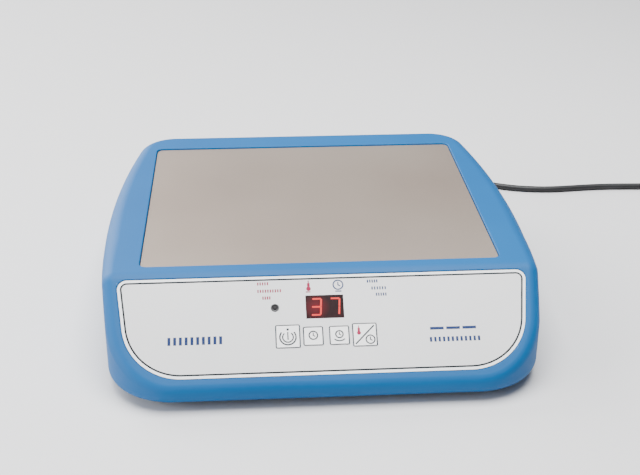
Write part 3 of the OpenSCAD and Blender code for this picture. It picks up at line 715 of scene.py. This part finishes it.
def rod(radius, low, high, matrix=Matrix(), steps=32):
    return prism(arc_points((0, 0), radius, 0, 2 * math.pi * (1 - 1 / steps), steps - 1), low, high, matrix)


# %% [markdown]
# ## Where things sit on the panel
# Everything on the slope is laid out flat first, as a drawing: across to the right, down
# the slope, and height above the face. One matrix then stands the drawing on the slope.

# %% Panel layout
PANEL = Matrix.Translation((0, CREASE_Y, BODY_H)) @ Matrix.Rotation(SLOPE, 4, "X")
SEAT_DEPTH = 0.0009
FILM_TOP = -0.0004
KEY_TOP = -0.00025
KEY_CORNER = 0.0008
POCKET_FLOOR = -0.0021
KEYS = {"power": ((-0.021, -0.0389), 0.0133), "timer": ((-0.00715, -0.0391), 0.0108),
        "interval": ((0.00715, -0.0391), 0.0108), "mode": ((0.0211, -0.0392), 0.0133)}
DISPLAY_AT, DISPLAY_W, DISPLAY_H = (0, -0.0221), 0.0207, 0.0134
LAMP_AT, LAMP_R = (-0.0275, -0.022), 0.0023
CORNER_AT, CORNER_R = Vector((0.1087, -0.0085)), 0.0052
SWEEP_AT, SWEEP_R = Vector((0.0782, -0.0281)), 0.033


def panel_outline(grow=0.0):
    """A straight top, leaning sides and wide sweeps at the lower corners."""
    apart = CORNER_AT - SWEEP_AT
    lean = math.atan2(apart.y, apart.x) - math.acos((SWEEP_R - CORNER_R) / apart.length)
    right = arc_points(SWEEP_AT, SWEEP_R + grow, -math.pi / 2, lean, 40)
    right += arc_points(CORNER_AT, CORNER_R + grow, lean, math.pi / 2, 20)
    return right + [(-x, y) for x, y in reversed(right)]


def on_panel(place):
    return PANEL @ Matrix.Translation((*place, 0))


# %% Housing
PLATE_GAP, LIP = 0.0003, 0.0006
SEAT_GAP, SEAT_LIP = 0.0004, 0.0005
PAN_TOP, PAN_INSET, PAN_GAP = 0.006, 0.0095, 0.0002
POST_R, STEM_HOLE_R, LEAD_HOLE_R = 0.004, 0.0027, 0.00455
POSTS = ((0.092, 0.1205), (0.112, -0.008), (0.095, -0.098))
plate_low, plate_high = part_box("heating_plate")
plate_centre = ((plate_low[0] + plate_high[0]) / 2, (plate_low[1] + plate_high[1]) / 2)
PLATE_W, PLATE_D, PLATE_CORNER = 0.2048, 0.1812, 0.0042


def house_outline(inset):
    return [(c[0] + (r - inset) * math.cos(a), c[1] + (r - inset) * math.sin(a)) for c, r, a in stations]


def window_outline(grow):
    gap = PLATE_GAP + grow
    return rounded_rectangle(PLATE_W + 2 * gap, PLATE_D + 2 * gap, PLATE_CORNER + gap, plate_centre)


house = carve(skin, hollow)
house = carve(house, prism(house_outline(PAN_INSET - 0.0003), -0.001, PAN_TOP))
house = carve(house, prism(house_outline(PAN_INSET + 0.0025), 0.001, FOOT_H + WALL + 0.001))
for side in (-1, 1):
    for x, y in POSTS:
        top = BODY_H - WALL / 2 if y > CREASE_Y else 0.042
        post = rod(POST_R, PAN_TOP + PAN_GAP, top, Matrix.Translation((side * x, y, 0)))
        house = carve(house, post, "UNION")
house = carve(house, cutter_with_lip(window_outline, BODY_H - 2 * WALL, BODY_H, LIP))
seat = cutter_with_lip(lambda grow: panel_outline(SEAT_GAP + grow), -SEAT_DEPTH, 0, SEAT_LIP, PANEL)
house = carve(house, seat)
for place, side in KEYS.values():
    house = carve(house, prism(rounded_rectangle(side + 0.0006, side + 0.0006, KEY_CORNER, place),
                               POCKET_FLOOR, 0.001, PANEL))
    house = carve(house, rod(STEM_HOLE_R, -0.005, 0.001, on_panel(place)))
house = carve(house, prism(rounded_rectangle(DISPLAY_W + 0.0004, DISPLAY_H + 0.0004, 0.0002, DISPLAY_AT, 2),
                           -0.004, 0.001, PANEL))
house = carve(house, rod(LAMP_R + 0.00005, -0.004, 0.001, on_panel(LAMP_AT)))
lead_hole = Matrix.Translation((LEAD_EXIT[0], HALF_D, LEAD_EXIT[2])) @ Matrix.Rotation(math.pi / 2, 4, "X")
house = carve(house, rod(LEAD_HOLE_R, -0.001, WALL + 0.001, lead_hole))
bmesh.ops.dissolve_limit(house, angle_limit=math.radians(0.05), verts=house.verts, edges=house.edges)
blue_moulding = finish_of("blue_moulding", srgb(1, 82, 138), srgb(5, 89, 146), (0.54, 0.64),
                          grain=2600.0, cloud=9.0, bump=0.10, depth=0.00006, wear=srgb(150, 190, 220),
                          wear_start=0.64, Specular_IOR_Level=0.28)
housing = finished_piece("moulded_housing", house, blue_moulding, stands_for=("top_housing",), smooth=30,
                         weighted=False)
shade_like_skin(housing.data)
print("housing:", len(housing.data.polygons), "faces")

# %% [markdown]
# ## The heated plate
# The plate is a slab of bead-blasted aluminium with a thin clamping flange below. Its
# corners are arcs and its upper edge has a small radius, so it is an outline extruded
# and then bevelled. Blasting leaves a satin surface with a fine sparkle and faint clouds.

# %% Heated plate
PLATE_TOP = plate_high[2]
PLATE_BOTTOM = plate_low[2]
FLANGE_TOP = PLATE_BOTTOM + 0.003
plate_shape = bmesh.new()
edge_r = 0.0005
FLANGE_CORNER = 0.006
flange_w, flange_d = plate_high[0] - plate_low[0], plate_high[1] - plate_low[1]
flange = rounded_rectangle(flange_w, flange_d, FLANGE_CORNER, plate_centre)
rows = [at_height(flange, height) for height in (PLATE_BOTTOM, FLANGE_TOP)]


def plate_row(inset, height):
    return at_height(rounded_rectangle(PLATE_W - 2 * inset, PLATE_D - 2 * inset, PLATE_CORNER - inset,
                                       plate_centre), height)


rows += [plate_row(0, FLANGE_TOP), plate_row(0, PLATE_TOP - edge_r)]
for step in range(1, 6):
    angle = math.radians(18 * step)
    rows.append(plate_row(edge_r * (1 - math.cos(angle)), PLATE_TOP - edge_r + edge_r * math.sin(angle)))
bridge_rows(plate_shape, rows)
blasted_aluminium = finish_of("blasted_aluminium", srgb(168, 154, 143), srgb(181, 168, 157), (0.42, 0.58),
                              grain=3200.0, cloud=7.0, bump=0.25, depth=0.00005, Metallic=0.85)
plate = finished_piece("warming_plate", plate_shape, blasted_aluminium, stands_for=("heating_plate",))

# %% [markdown]
# ## The panel film
# The control panel is a printed polyester film, stuck in its seat. Its white border and
# dark line are ink, and both follow the film's edge at a steady distance. Insetting the
# film's top face twice gives exactly those bands, and each band takes its own material.

# %% Film materials
def film_material(name, dark, light, gloss=(0.34, 0.46), shine=0.4):
    return finish_of(name, dark, light, gloss, grain=1800.0, cloud=11.0, bump=0.06,
                     depth=0.00004, Specular_IOR_Level=shine)


INK_GLOSS = (0.55, 0.7)
pale_film = film_material("pale_film", srgb(216, 217, 218), srgb(224, 224, 225))
white_band = film_material("white_band", srgb(246, 250, 253), srgb(250, 253, 255))
line_ink = film_material("line_ink", srgb(24, 27, 32), srgb(36, 39, 44), INK_GLOSS, 0.15)
white_cap = film_material("white_cap", srgb(250, 250, 251), srgb(255, 255, 255))
grey_ink = film_material("grey_ink", srgb(48, 51, 56), srgb(62, 65, 70), INK_GLOSS, 0.15)
navy_ink = film_material("navy_ink", srgb(30, 46, 88), srgb(44, 60, 102), INK_GLOSS, 0.15)
maroon_ink = film_material("maroon_ink", srgb(138, 30, 62), srgb(158, 44, 78), INK_GLOSS, 0.15)

# %% Film
BAND_W, LINE_W = 0.0015, 0.0010


def printed_slab(points, low, high, insets):
    """A slab whose top face is inset once for each width; each inset band takes the next material."""
    shape = prism(points, low, high)
    bmesh.ops.recalc_face_normals(shape, faces=shape.faces)
    top = max(shape.faces, key=lambda face: face.calc_center_median().z)
    for index, width in enumerate(insets):
        bands = bmesh.ops.inset_individual(shape, faces=[top], thickness=width, use_even_offset=True)
        for face in bands["faces"]:
            face.material_index = index + 1
    return shape


film = printed_slab(panel_outline(), -SEAT_DEPTH, FILM_TOP, (BAND_W, LINE_W))
film_inks = (pale_film, white_band, line_ink)
film_holes = [rounded_rectangle(DISPLAY_W + 0.0003, DISPLAY_H + 0.0003, 0.0002, DISPLAY_AT, 2),
              arc_points(LAMP_AT, LAMP_R + 0.00005, 0, 2 * math.pi * 31 / 32, 31)]
for place, side in KEYS.values():
    film_holes.append(rounded_rectangle(side + 0.0004, side + 0.0004, 0.001, place))
for hole in film_holes:
    film = carve(film, prism(hole, -0.002, 0.001), materials=film_inks)
bmesh.ops.transform(film, matrix=PANEL, verts=film.verts)
panel_film = finished_piece("panel_film", film, pale_film, stands_for=("panel_overlay",))
for ink in film_inks[1:]:
    panel_film.data.materials.append(ink)

# %% [markdown]
# ## Ink shapes
# Symbols and marks are printed on the film and on the keys. Ink has hardly any height,
# but a thin solid of its own keeps its outline crisp from every side. Straight strokes
# are flat blocks, and round ones are a small rectangle spun about their centre.

# %% Ink strokes
INK_T = 0.00004


def stroke(shape, start, end, width, level):
    start, end = Vector(start), Vector(end)
    middle = (start + end) / 2
    run = end - start
    place = Matrix.Translation((*middle, level)) @ Matrix.Rotation(math.atan2(run.y, run.x), 4, "Z")
    block(shape, (run.length + width, width, 2 * INK_T), (0, 0, 0), place, 0.4 * INK_T, 1)


def round_stroke(shape, centre, radius, width, level, start=0.0, end=360.0):
    place = Matrix.Translation((*centre, level))
    section = [(radius - width / 2, -INK_T), (radius + width / 2, -INK_T),
               (radius + width / 2, INK_T), (radius - width / 2, INK_T)]
    whole = end - start >= 360
    turn = Matrix.Rotation(math.radians(start), 4, "Z")
    verts = [shape.verts.new(place @ turn @ Vector((x, 0, z))) for x, z in section]
    edges = [shape.edges.new(pair) for pair in zip(verts, verts[1:] + verts[:1])]
    faces = [] if whole else [shape.faces.new(verts)]
    bmesh.ops.spin(shape, geom=verts + edges + faces, cent=(*centre, level), axis=(0, 0, 1),
                   angle=math.radians(end - start), steps=max(8, int((end - start) / 9)), use_merge=whole)


def dot(shape, centre, radius, level):
    disc = rod(radius, level - INK_T, level + INK_T, Matrix.Translation((*centre, 0)), 20)
    mesh = bpy.data.meshes.new("dot")
    disc.to_mesh(mesh)
    disc.free()
    shape.from_mesh(mesh)
    bpy.data.meshes.remove(mesh)


def clock_face(shape, centre, radius, level, width=0.0007):
    round_stroke(shape, centre, radius, width, level)
    stroke(shape, centre, (centre[0], centre[1] + 0.55 * radius), 0.8 * width, level)
    stroke(shape, centre, (centre[0] + 0.35 * radius, centre[1] - 0.25 * radius), 0.8 * width, level)


def thermometer(shape, centre, height, level):
    bulb = 0.23 * height
    low = (centre[0], centre[1] - height / 2 + bulb)
    dot(shape, low, bulb, level + INK_T / 2)
    stroke(shape, low, (centre[0], centre[1] + 0.2 * height), 0.26 * height, level)
    stroke(shape, (centre[0], centre[1] + 0.38 * height), (centre[0], centre[1] + 0.56 * height),
           0.10 * height, level)


def printed(name, shape, ink, body="housing"):
    bmesh.ops.transform(shape, matrix=PANEL, verts=shape.verts)
    piece = finished_piece(name, shape, ink, body=body, weighted=False)
    return piece


# %% Marks on the film
navy_marks = bmesh.new()
clock_face(navy_marks, (0.008, -0.0094), 0.0027, FILM_TOP)
stroke(navy_marks, (0.0066, -0.0132), (0.0094, -0.0132), 0.0007, FILM_TOP)
maroon_marks = bmesh.new()
thermometer(maroon_marks, (-0.0085, -0.0098), 0.0056, FILM_TOP)
stroke(maroon_marks, (-0.0098, -0.0132), (-0.0078, -0.0132), 0.0006, FILM_TOP)


def row_of_bars(shape, left, right, v, height, pitch=0.0014):
    """Plain upright bars that stand for a line of printing."""
    count = round((right - left) / pitch)
    width = 0.52 * pitch
    reach = (height - width) / 2
    for i in range(count):
        x = left + (i + 0.5) * (right - left) / count
        stroke(shape, (x, -v - reach), (x, -v + reach), width, FILM_TOP)


SMALL_PRINT, WIDE_PRINT, LARGE_PRINT = 0.0018, 0.0028, 0.0046
for left, right, v in ((-0.0372, -0.0305, 0.0076), (-0.0372, -0.0235, 0.0120), (-0.0345, -0.0295, 0.0161)):
    row_of_bars(maroon_marks, left, right, v, SMALL_PRINT)
for left, right, v in ((0.0240, 0.0305, 0.0078), (0.0262, 0.0350, 0.0120), (0.0285, 0.0350, 0.0158)):
    row_of_bars(navy_marks, left, right, v, SMALL_PRINT)
row_of_bars(navy_marks, -0.0870, -0.0560, 0.0398, LARGE_PRINT, 0.0031)
row_of_bars(navy_marks, 0.0560, 0.0850, 0.0432, WIDE_PRINT, 0.0024)
for bar in range(3):
    stroke(navy_marks, (0.0580 + 0.0090 * bar, -0.0368), (0.0640 + 0.0090 * bar, -0.0368), 0.0016, FILM_TOP)
printed("navy_print", navy_marks, navy_ink)
printed("maroon_print", maroon_marks, maroon_ink)

# %% [markdown]
# ## Keys
# Each key is a white cap with a thin grey frame, flush with the film and free to travel.
# Its stem reaches down to a switch. The cap is an outline raised to a slab, its frame is
# one inset of the top face, and it rides on its own body with its printed symbol.

# %% Key caps
KEY_T, KEY_FRAME = 0.0006, 0.0005
STEM_R, STEM_END = 0.0024, -0.0034


def key_cap(name, place, side):
    points = rounded_rectangle(side, side, KEY_CORNER, place)
    shape = printed_slab(points, KEY_TOP - KEY_T, KEY_TOP, (KEY_FRAME,))
    stem = rod(STEM_R, STEM_END, KEY_TOP - KEY_T / 2, Matrix.Translation((*place, 0)))
    shape = carve(shape, stem, "UNION", (white_cap, grey_ink))
    bmesh.ops.transform(shape, matrix=PANEL, verts=shape.verts)
    cap = finished_piece(name + "_cap", shape, white_cap, body=name + "_key", stands_for=("key_" + name,))
    cap.data.materials.append(grey_ink)
    return cap


for name, (place, side) in KEYS.items():
    key_cap(name, place, side)

# %% Key symbols
def symbol_power(shape, x, y):
    round_stroke(shape, (x, y - 0.0004), 0.0044, 0.0008, KEY_TOP, 140, 400)
    round_stroke(shape, (x, y - 0.0004), 0.0029, 0.0007, KEY_TOP, 130, 410)
    stroke(shape, (x, y - 0.0016), (x, y + 0.0022), 0.0007, KEY_TOP)
    dot(shape, (x, y + 0.0040), 0.0007, KEY_TOP)


def symbol_timer(shape, x, y):
    clock_face(shape, (x, y + 0.0004), 0.0023, KEY_TOP)


def symbol_interval(shape, x, y):
    clock_face(shape, (x, y + 0.0006), 0.0020, KEY_TOP)
    round_stroke(shape, (x, y + 0.0012), 0.0044, 0.0007, KEY_TOP, 230, 310)


def symbol_mode(shape, x, y):
    stroke(shape, (x - 0.0050, y - 0.0050), (x + 0.0050, y + 0.0050), 0.0008, KEY_TOP)
    clock_face(shape, (x + 0.0029, y - 0.0028), 0.0024, KEY_TOP)


SYMBOLS = {"power": symbol_power, "timer": symbol_timer, "interval": symbol_interval, "mode": symbol_mode}
for name, draw in SYMBOLS.items():
    symbol = bmesh.new()
    draw(symbol, *KEYS[name][0])
    printed(name + "_symbol", symbol, grey_ink, body=name + "_key")
mode_place = KEYS["mode"][0]
warmth = bmesh.new()
thermometer(warmth, (mode_place[0] - 0.0032, mode_place[1] + 0.0024), 0.0048, KEY_TOP)
printed("mode_warmth_symbol", warmth, maroon_ink, body="mode_key")

# %% [markdown]
# ## Display and lamp
# Behind a dark red window two seven-segment digits show the temperature. The window is
# a rounded slab whose glow comes from a soft round gradient. The digits are bars that
# lean a little. The lamp is a smoked lens in a black turned ring.

# %% Window
WINDOW_TOP = -0.0005
window = bmesh.new()
bmesh.ops.create_cube(window, size=1.0)
bmesh.ops.scale(window, vec=(DISPLAY_W, DISPLAY_H, 0.0019), verts=window.verts)
bmesh.ops.translate(window, vec=(*DISPLAY_AT, WINDOW_TOP - 0.00095), verts=window.verts)
bmesh.ops.bevel(window, geom=window.edges[:], offset=0.00015, segments=2, profile=0.5, affect="EDGES",
                material=-1)
bmesh.ops.transform(window, matrix=PANEL, verts=window.verts)
red_window = finish_of("red_window", srgb(28, 10, 13), srgb(38, 13, 17), (0.30, 0.38), grain=900.0,
                       cloud=90.0, bump=0.02, Specular_IOR_Level=0.07)


def glow(material, place, radius, colour, strength):
    """Adds a soft round glow at a place on the panel to a material."""
    tree = material.node_tree
    shader = tree.nodes["Principled BSDF"]
    place_node = tree.nodes.new("ShaderNodeTexCoord")
    mapping = tree.nodes.new("ShaderNodeMapping")
    mapping.vector_type = "TEXTURE"
    mapping.inputs["Location"].default_value = PANEL @ Vector((*place, WINDOW_TOP))
    mapping.inputs["Scale"].default_value = (radius, radius, radius)
    ball = tree.nodes.new("ShaderNodeTexGradient")
    ball.gradient_type = "SPHERICAL"
    tree.links.new(place_node.outputs["Object"], mapping.inputs["Vector"])
    tree.links.new(mapping.outputs["Vector"], ball.inputs["Vector"])
    lit = mixed(tree, ball.outputs["Fac"], (0.0, 0.0, 0.0), colour)
    tree.links.new(lit, shader.inputs["Emission Color"])
    shader.inputs["Emission Strength"].default_value = strength


glow(red_window, (-0.0048, -0.0222), 0.0078, srgb(190, 24, 48), 0.45)
filter_piece = finished_piece("display_window", window, red_window, stands_for=("display_filter",))

# %% Digits
lit_segment = finish_of("lit_segment", srgb(150, 22, 20), srgb(170, 30, 26), (0.5, 0.6), grain=700.0,
                        cloud=400.0, bump=0.02, Specular_IOR_Level=0.1)
segment_shader = lit_segment.node_tree.nodes["Principled BSDF"]
segment_shader.inputs["Emission Color"].default_value = (*srgb(255, 84, 76), 1)
segment_shader.inputs["Emission Strength"].default_value = 1.1
DIGIT_W, DIGIT_H, SEGMENT_W, LEAN = 0.0050, 0.0094, 0.00095, 0.07
SEGMENTS = {"a": ((0, 1), (1, 1)), "b": ((1, 1), (1, 0.5)), "c": ((1, 0.5), (1, 0)), "d": ((0, 0), (1, 0)),
            "g": ((0, 0.5), (1, 0.5))}


def digit(shape, centre, lit):
    for letter in lit:
        ends = []
        for x, y in SEGMENTS[letter]:
            rise = (y - 0.5) * DIGIT_H
            ends.append(Vector((centre[0] + (x - 0.5) * DIGIT_W + LEAN * rise, centre[1] + rise)))
        inset = (ends[1] - ends[0]).normalized() * 0.62 * SEGMENT_W
        stroke(shape, ends[0] + inset, ends[1] - inset, SEGMENT_W, WINDOW_TOP)


digits = bmesh.new()
digit(digits, (-0.0046, -0.0221), "abcdg")
digit(digits, (0.0056, -0.0221), "abc")
bmesh.ops.transform(digits, matrix=PANEL, verts=digits.verts)
digits_piece = finished_piece("lit_digits", digits, lit_segment, weighted=False)

# %% Lamp
ring_black = finish_of("ring_black", srgb(20, 21, 23), srgb(32, 33, 36), (0.30, 0.42), grain=1500.0,
                       cloud=200.0, bump=0.08)
smoked_lens = finish_of("smoked_lens", srgb(30, 29, 31), srgb(44, 42, 44), (0.40, 0.50), grain=1500.0,
                        cloud=500.0, bump=0.02, Specular_IOR_Level=0.12)
lamp_frame = on_panel(LAMP_AT)
bezel_shape = bmesh.new()
turned(bezel_shape, [(0.00135, -0.003), (LAMP_R, -0.003), (LAMP_R, -0.00025), (0.0022, -0.00013),
                     (0.0020, -0.0001), (0.0016, -0.00012), (0.00145, -0.00022), (0.00135, -0.0004),
                     (0.00135, -0.003)], lamp_frame)
bezel = finished_piece("lamp_ring", bezel_shape, ring_black, stands_for=("lamp_bezel",))
lens_shape = bmesh.new()
lens_outline = [(0, -0.003), (0.0013, -0.003), (0.0013, -0.00042), (0.0011, -0.00033),
                (0.0007, -0.00027), (0, -0.00025)]
turned(lens_shape, lens_outline, lamp_frame, 32)
lens = finished_piece("lamp_dome", lens_shape, smoked_lens, stands_for=("lamp_lens",))

# %% [markdown]
# ## Finishes for the design's own parts
# The pan, feet, screws, heater stack and electronics keep the design's meshes, which
# already have their true shapes. Each takes a finish for its material, in one loop.

# %% Finishes by slot
# Dark tone, light tone, gloss, grain, cloud, bump and metal
SLOT_FINISHES = {
    "zinc_sheet": ((148, 150, 152), (176, 178, 180), (0.28, 0.50), 260.0, 40.0, 0.15, 1.0),
    "steel_screw": ((170, 172, 175), (196, 198, 200), (0.2, 0.36), 700.0, 90.0, 0.08, 1.0),
    "foot_rubber": ((22, 22, 24), (36, 36, 38), (0.72, 0.9), 1300.0, 60.0, 0.4, 0.0),
    "red_silicone": ((160, 44, 34), (184, 60, 46), (0.55, 0.75), 900.0, 50.0, 0.2, 0.0),
    "mineral_board": ((222, 216, 196), (238, 234, 220), (0.8, 0.95), 420.0, 70.0, 0.6, 0.0),
    "white_nylon": ((226, 226, 220), (240, 240, 236), (0.45, 0.6), 900.0, 80.0, 0.1, 0.0),
    "sensor_epoxy": ((24, 52, 36), (38, 72, 52), (0.3, 0.5), 700.0, 200.0, 0.15, 0.0),
    "dark_bakelite": ((34, 28, 24), (56, 46, 40), (0.3, 0.5), 500.0, 120.0, 0.15, 0.0),
    "red_led": ((150, 24, 22), (176, 34, 30), (0.15, 0.25), 700.0, 300.0, 0.03, 0.0),
    "circuit_board": ((18, 84, 46), (28, 106, 60), (0.25, 0.42), 260.0, 120.0, 0.2, 0.0),
    "ribbon_grey": ((132, 134, 138), (158, 160, 164), (0.5, 0.65), 600.0, 150.0, 0.15, 0.0),
    "brass_spacer": ((178, 144, 76), (204, 170, 98), (0.22, 0.36), 400.0, 120.0, 0.08, 1.0),
    "transformer_iron": ((58, 58, 62), (84, 84, 90), (0.4, 0.6), 300.0, 90.0, 0.3, 0.4),
    "black_anodised": ((22, 22, 25), (38, 38, 42), (0.4, 0.55), 1200.0, 80.0, 0.15, 0.5),
    "fuse_glass": ((206, 212, 216), (224, 230, 233), (0.06, 0.12), 300.0, 60.0, 0.02, 0.0),
    "capacitor_sleeve": ((24, 34, 82), (36, 48, 102), (0.25, 0.4), 600.0, 90.0, 0.08, 0.0),
    "silicone_wire": ((182, 176, 162), (206, 200, 188), (0.5, 0.7), 900.0, 160.0, 0.2, 0.0),
    "brown_wire": ((98, 58, 32), (122, 76, 46), (0.4, 0.6), 900.0, 160.0, 0.15, 0.0),
}
finishes = {}
for slot, (dark, light, gloss, grain, cloud, bump, metal) in SLOT_FINISHES.items():
    finishes[slot] = finish_of(slot + "_finish", srgb(*dark), srgb(*light), gloss, grain, cloud, bump,
                               Metallic=metal)
finishes |= {"blue_moulding": blue_moulding, "heated_plate": blasted_aluminium, "panel_film": pale_film,
             "red_filter": red_window, "black_bezel": ring_black, "smoked_lens": smoked_lens,
             "lead_jacket": black_vinyl, "tie_strap": woven_strap, "plug_pin": nickel}

# %% Finishes onto the design's parts
for row in frame["record"]["subparts"]:
    for place in frame["nodes"][row["node"]].material_slots:
        place.material = finishes[row["material_slot"]]
print("finishes:", len(finishes))
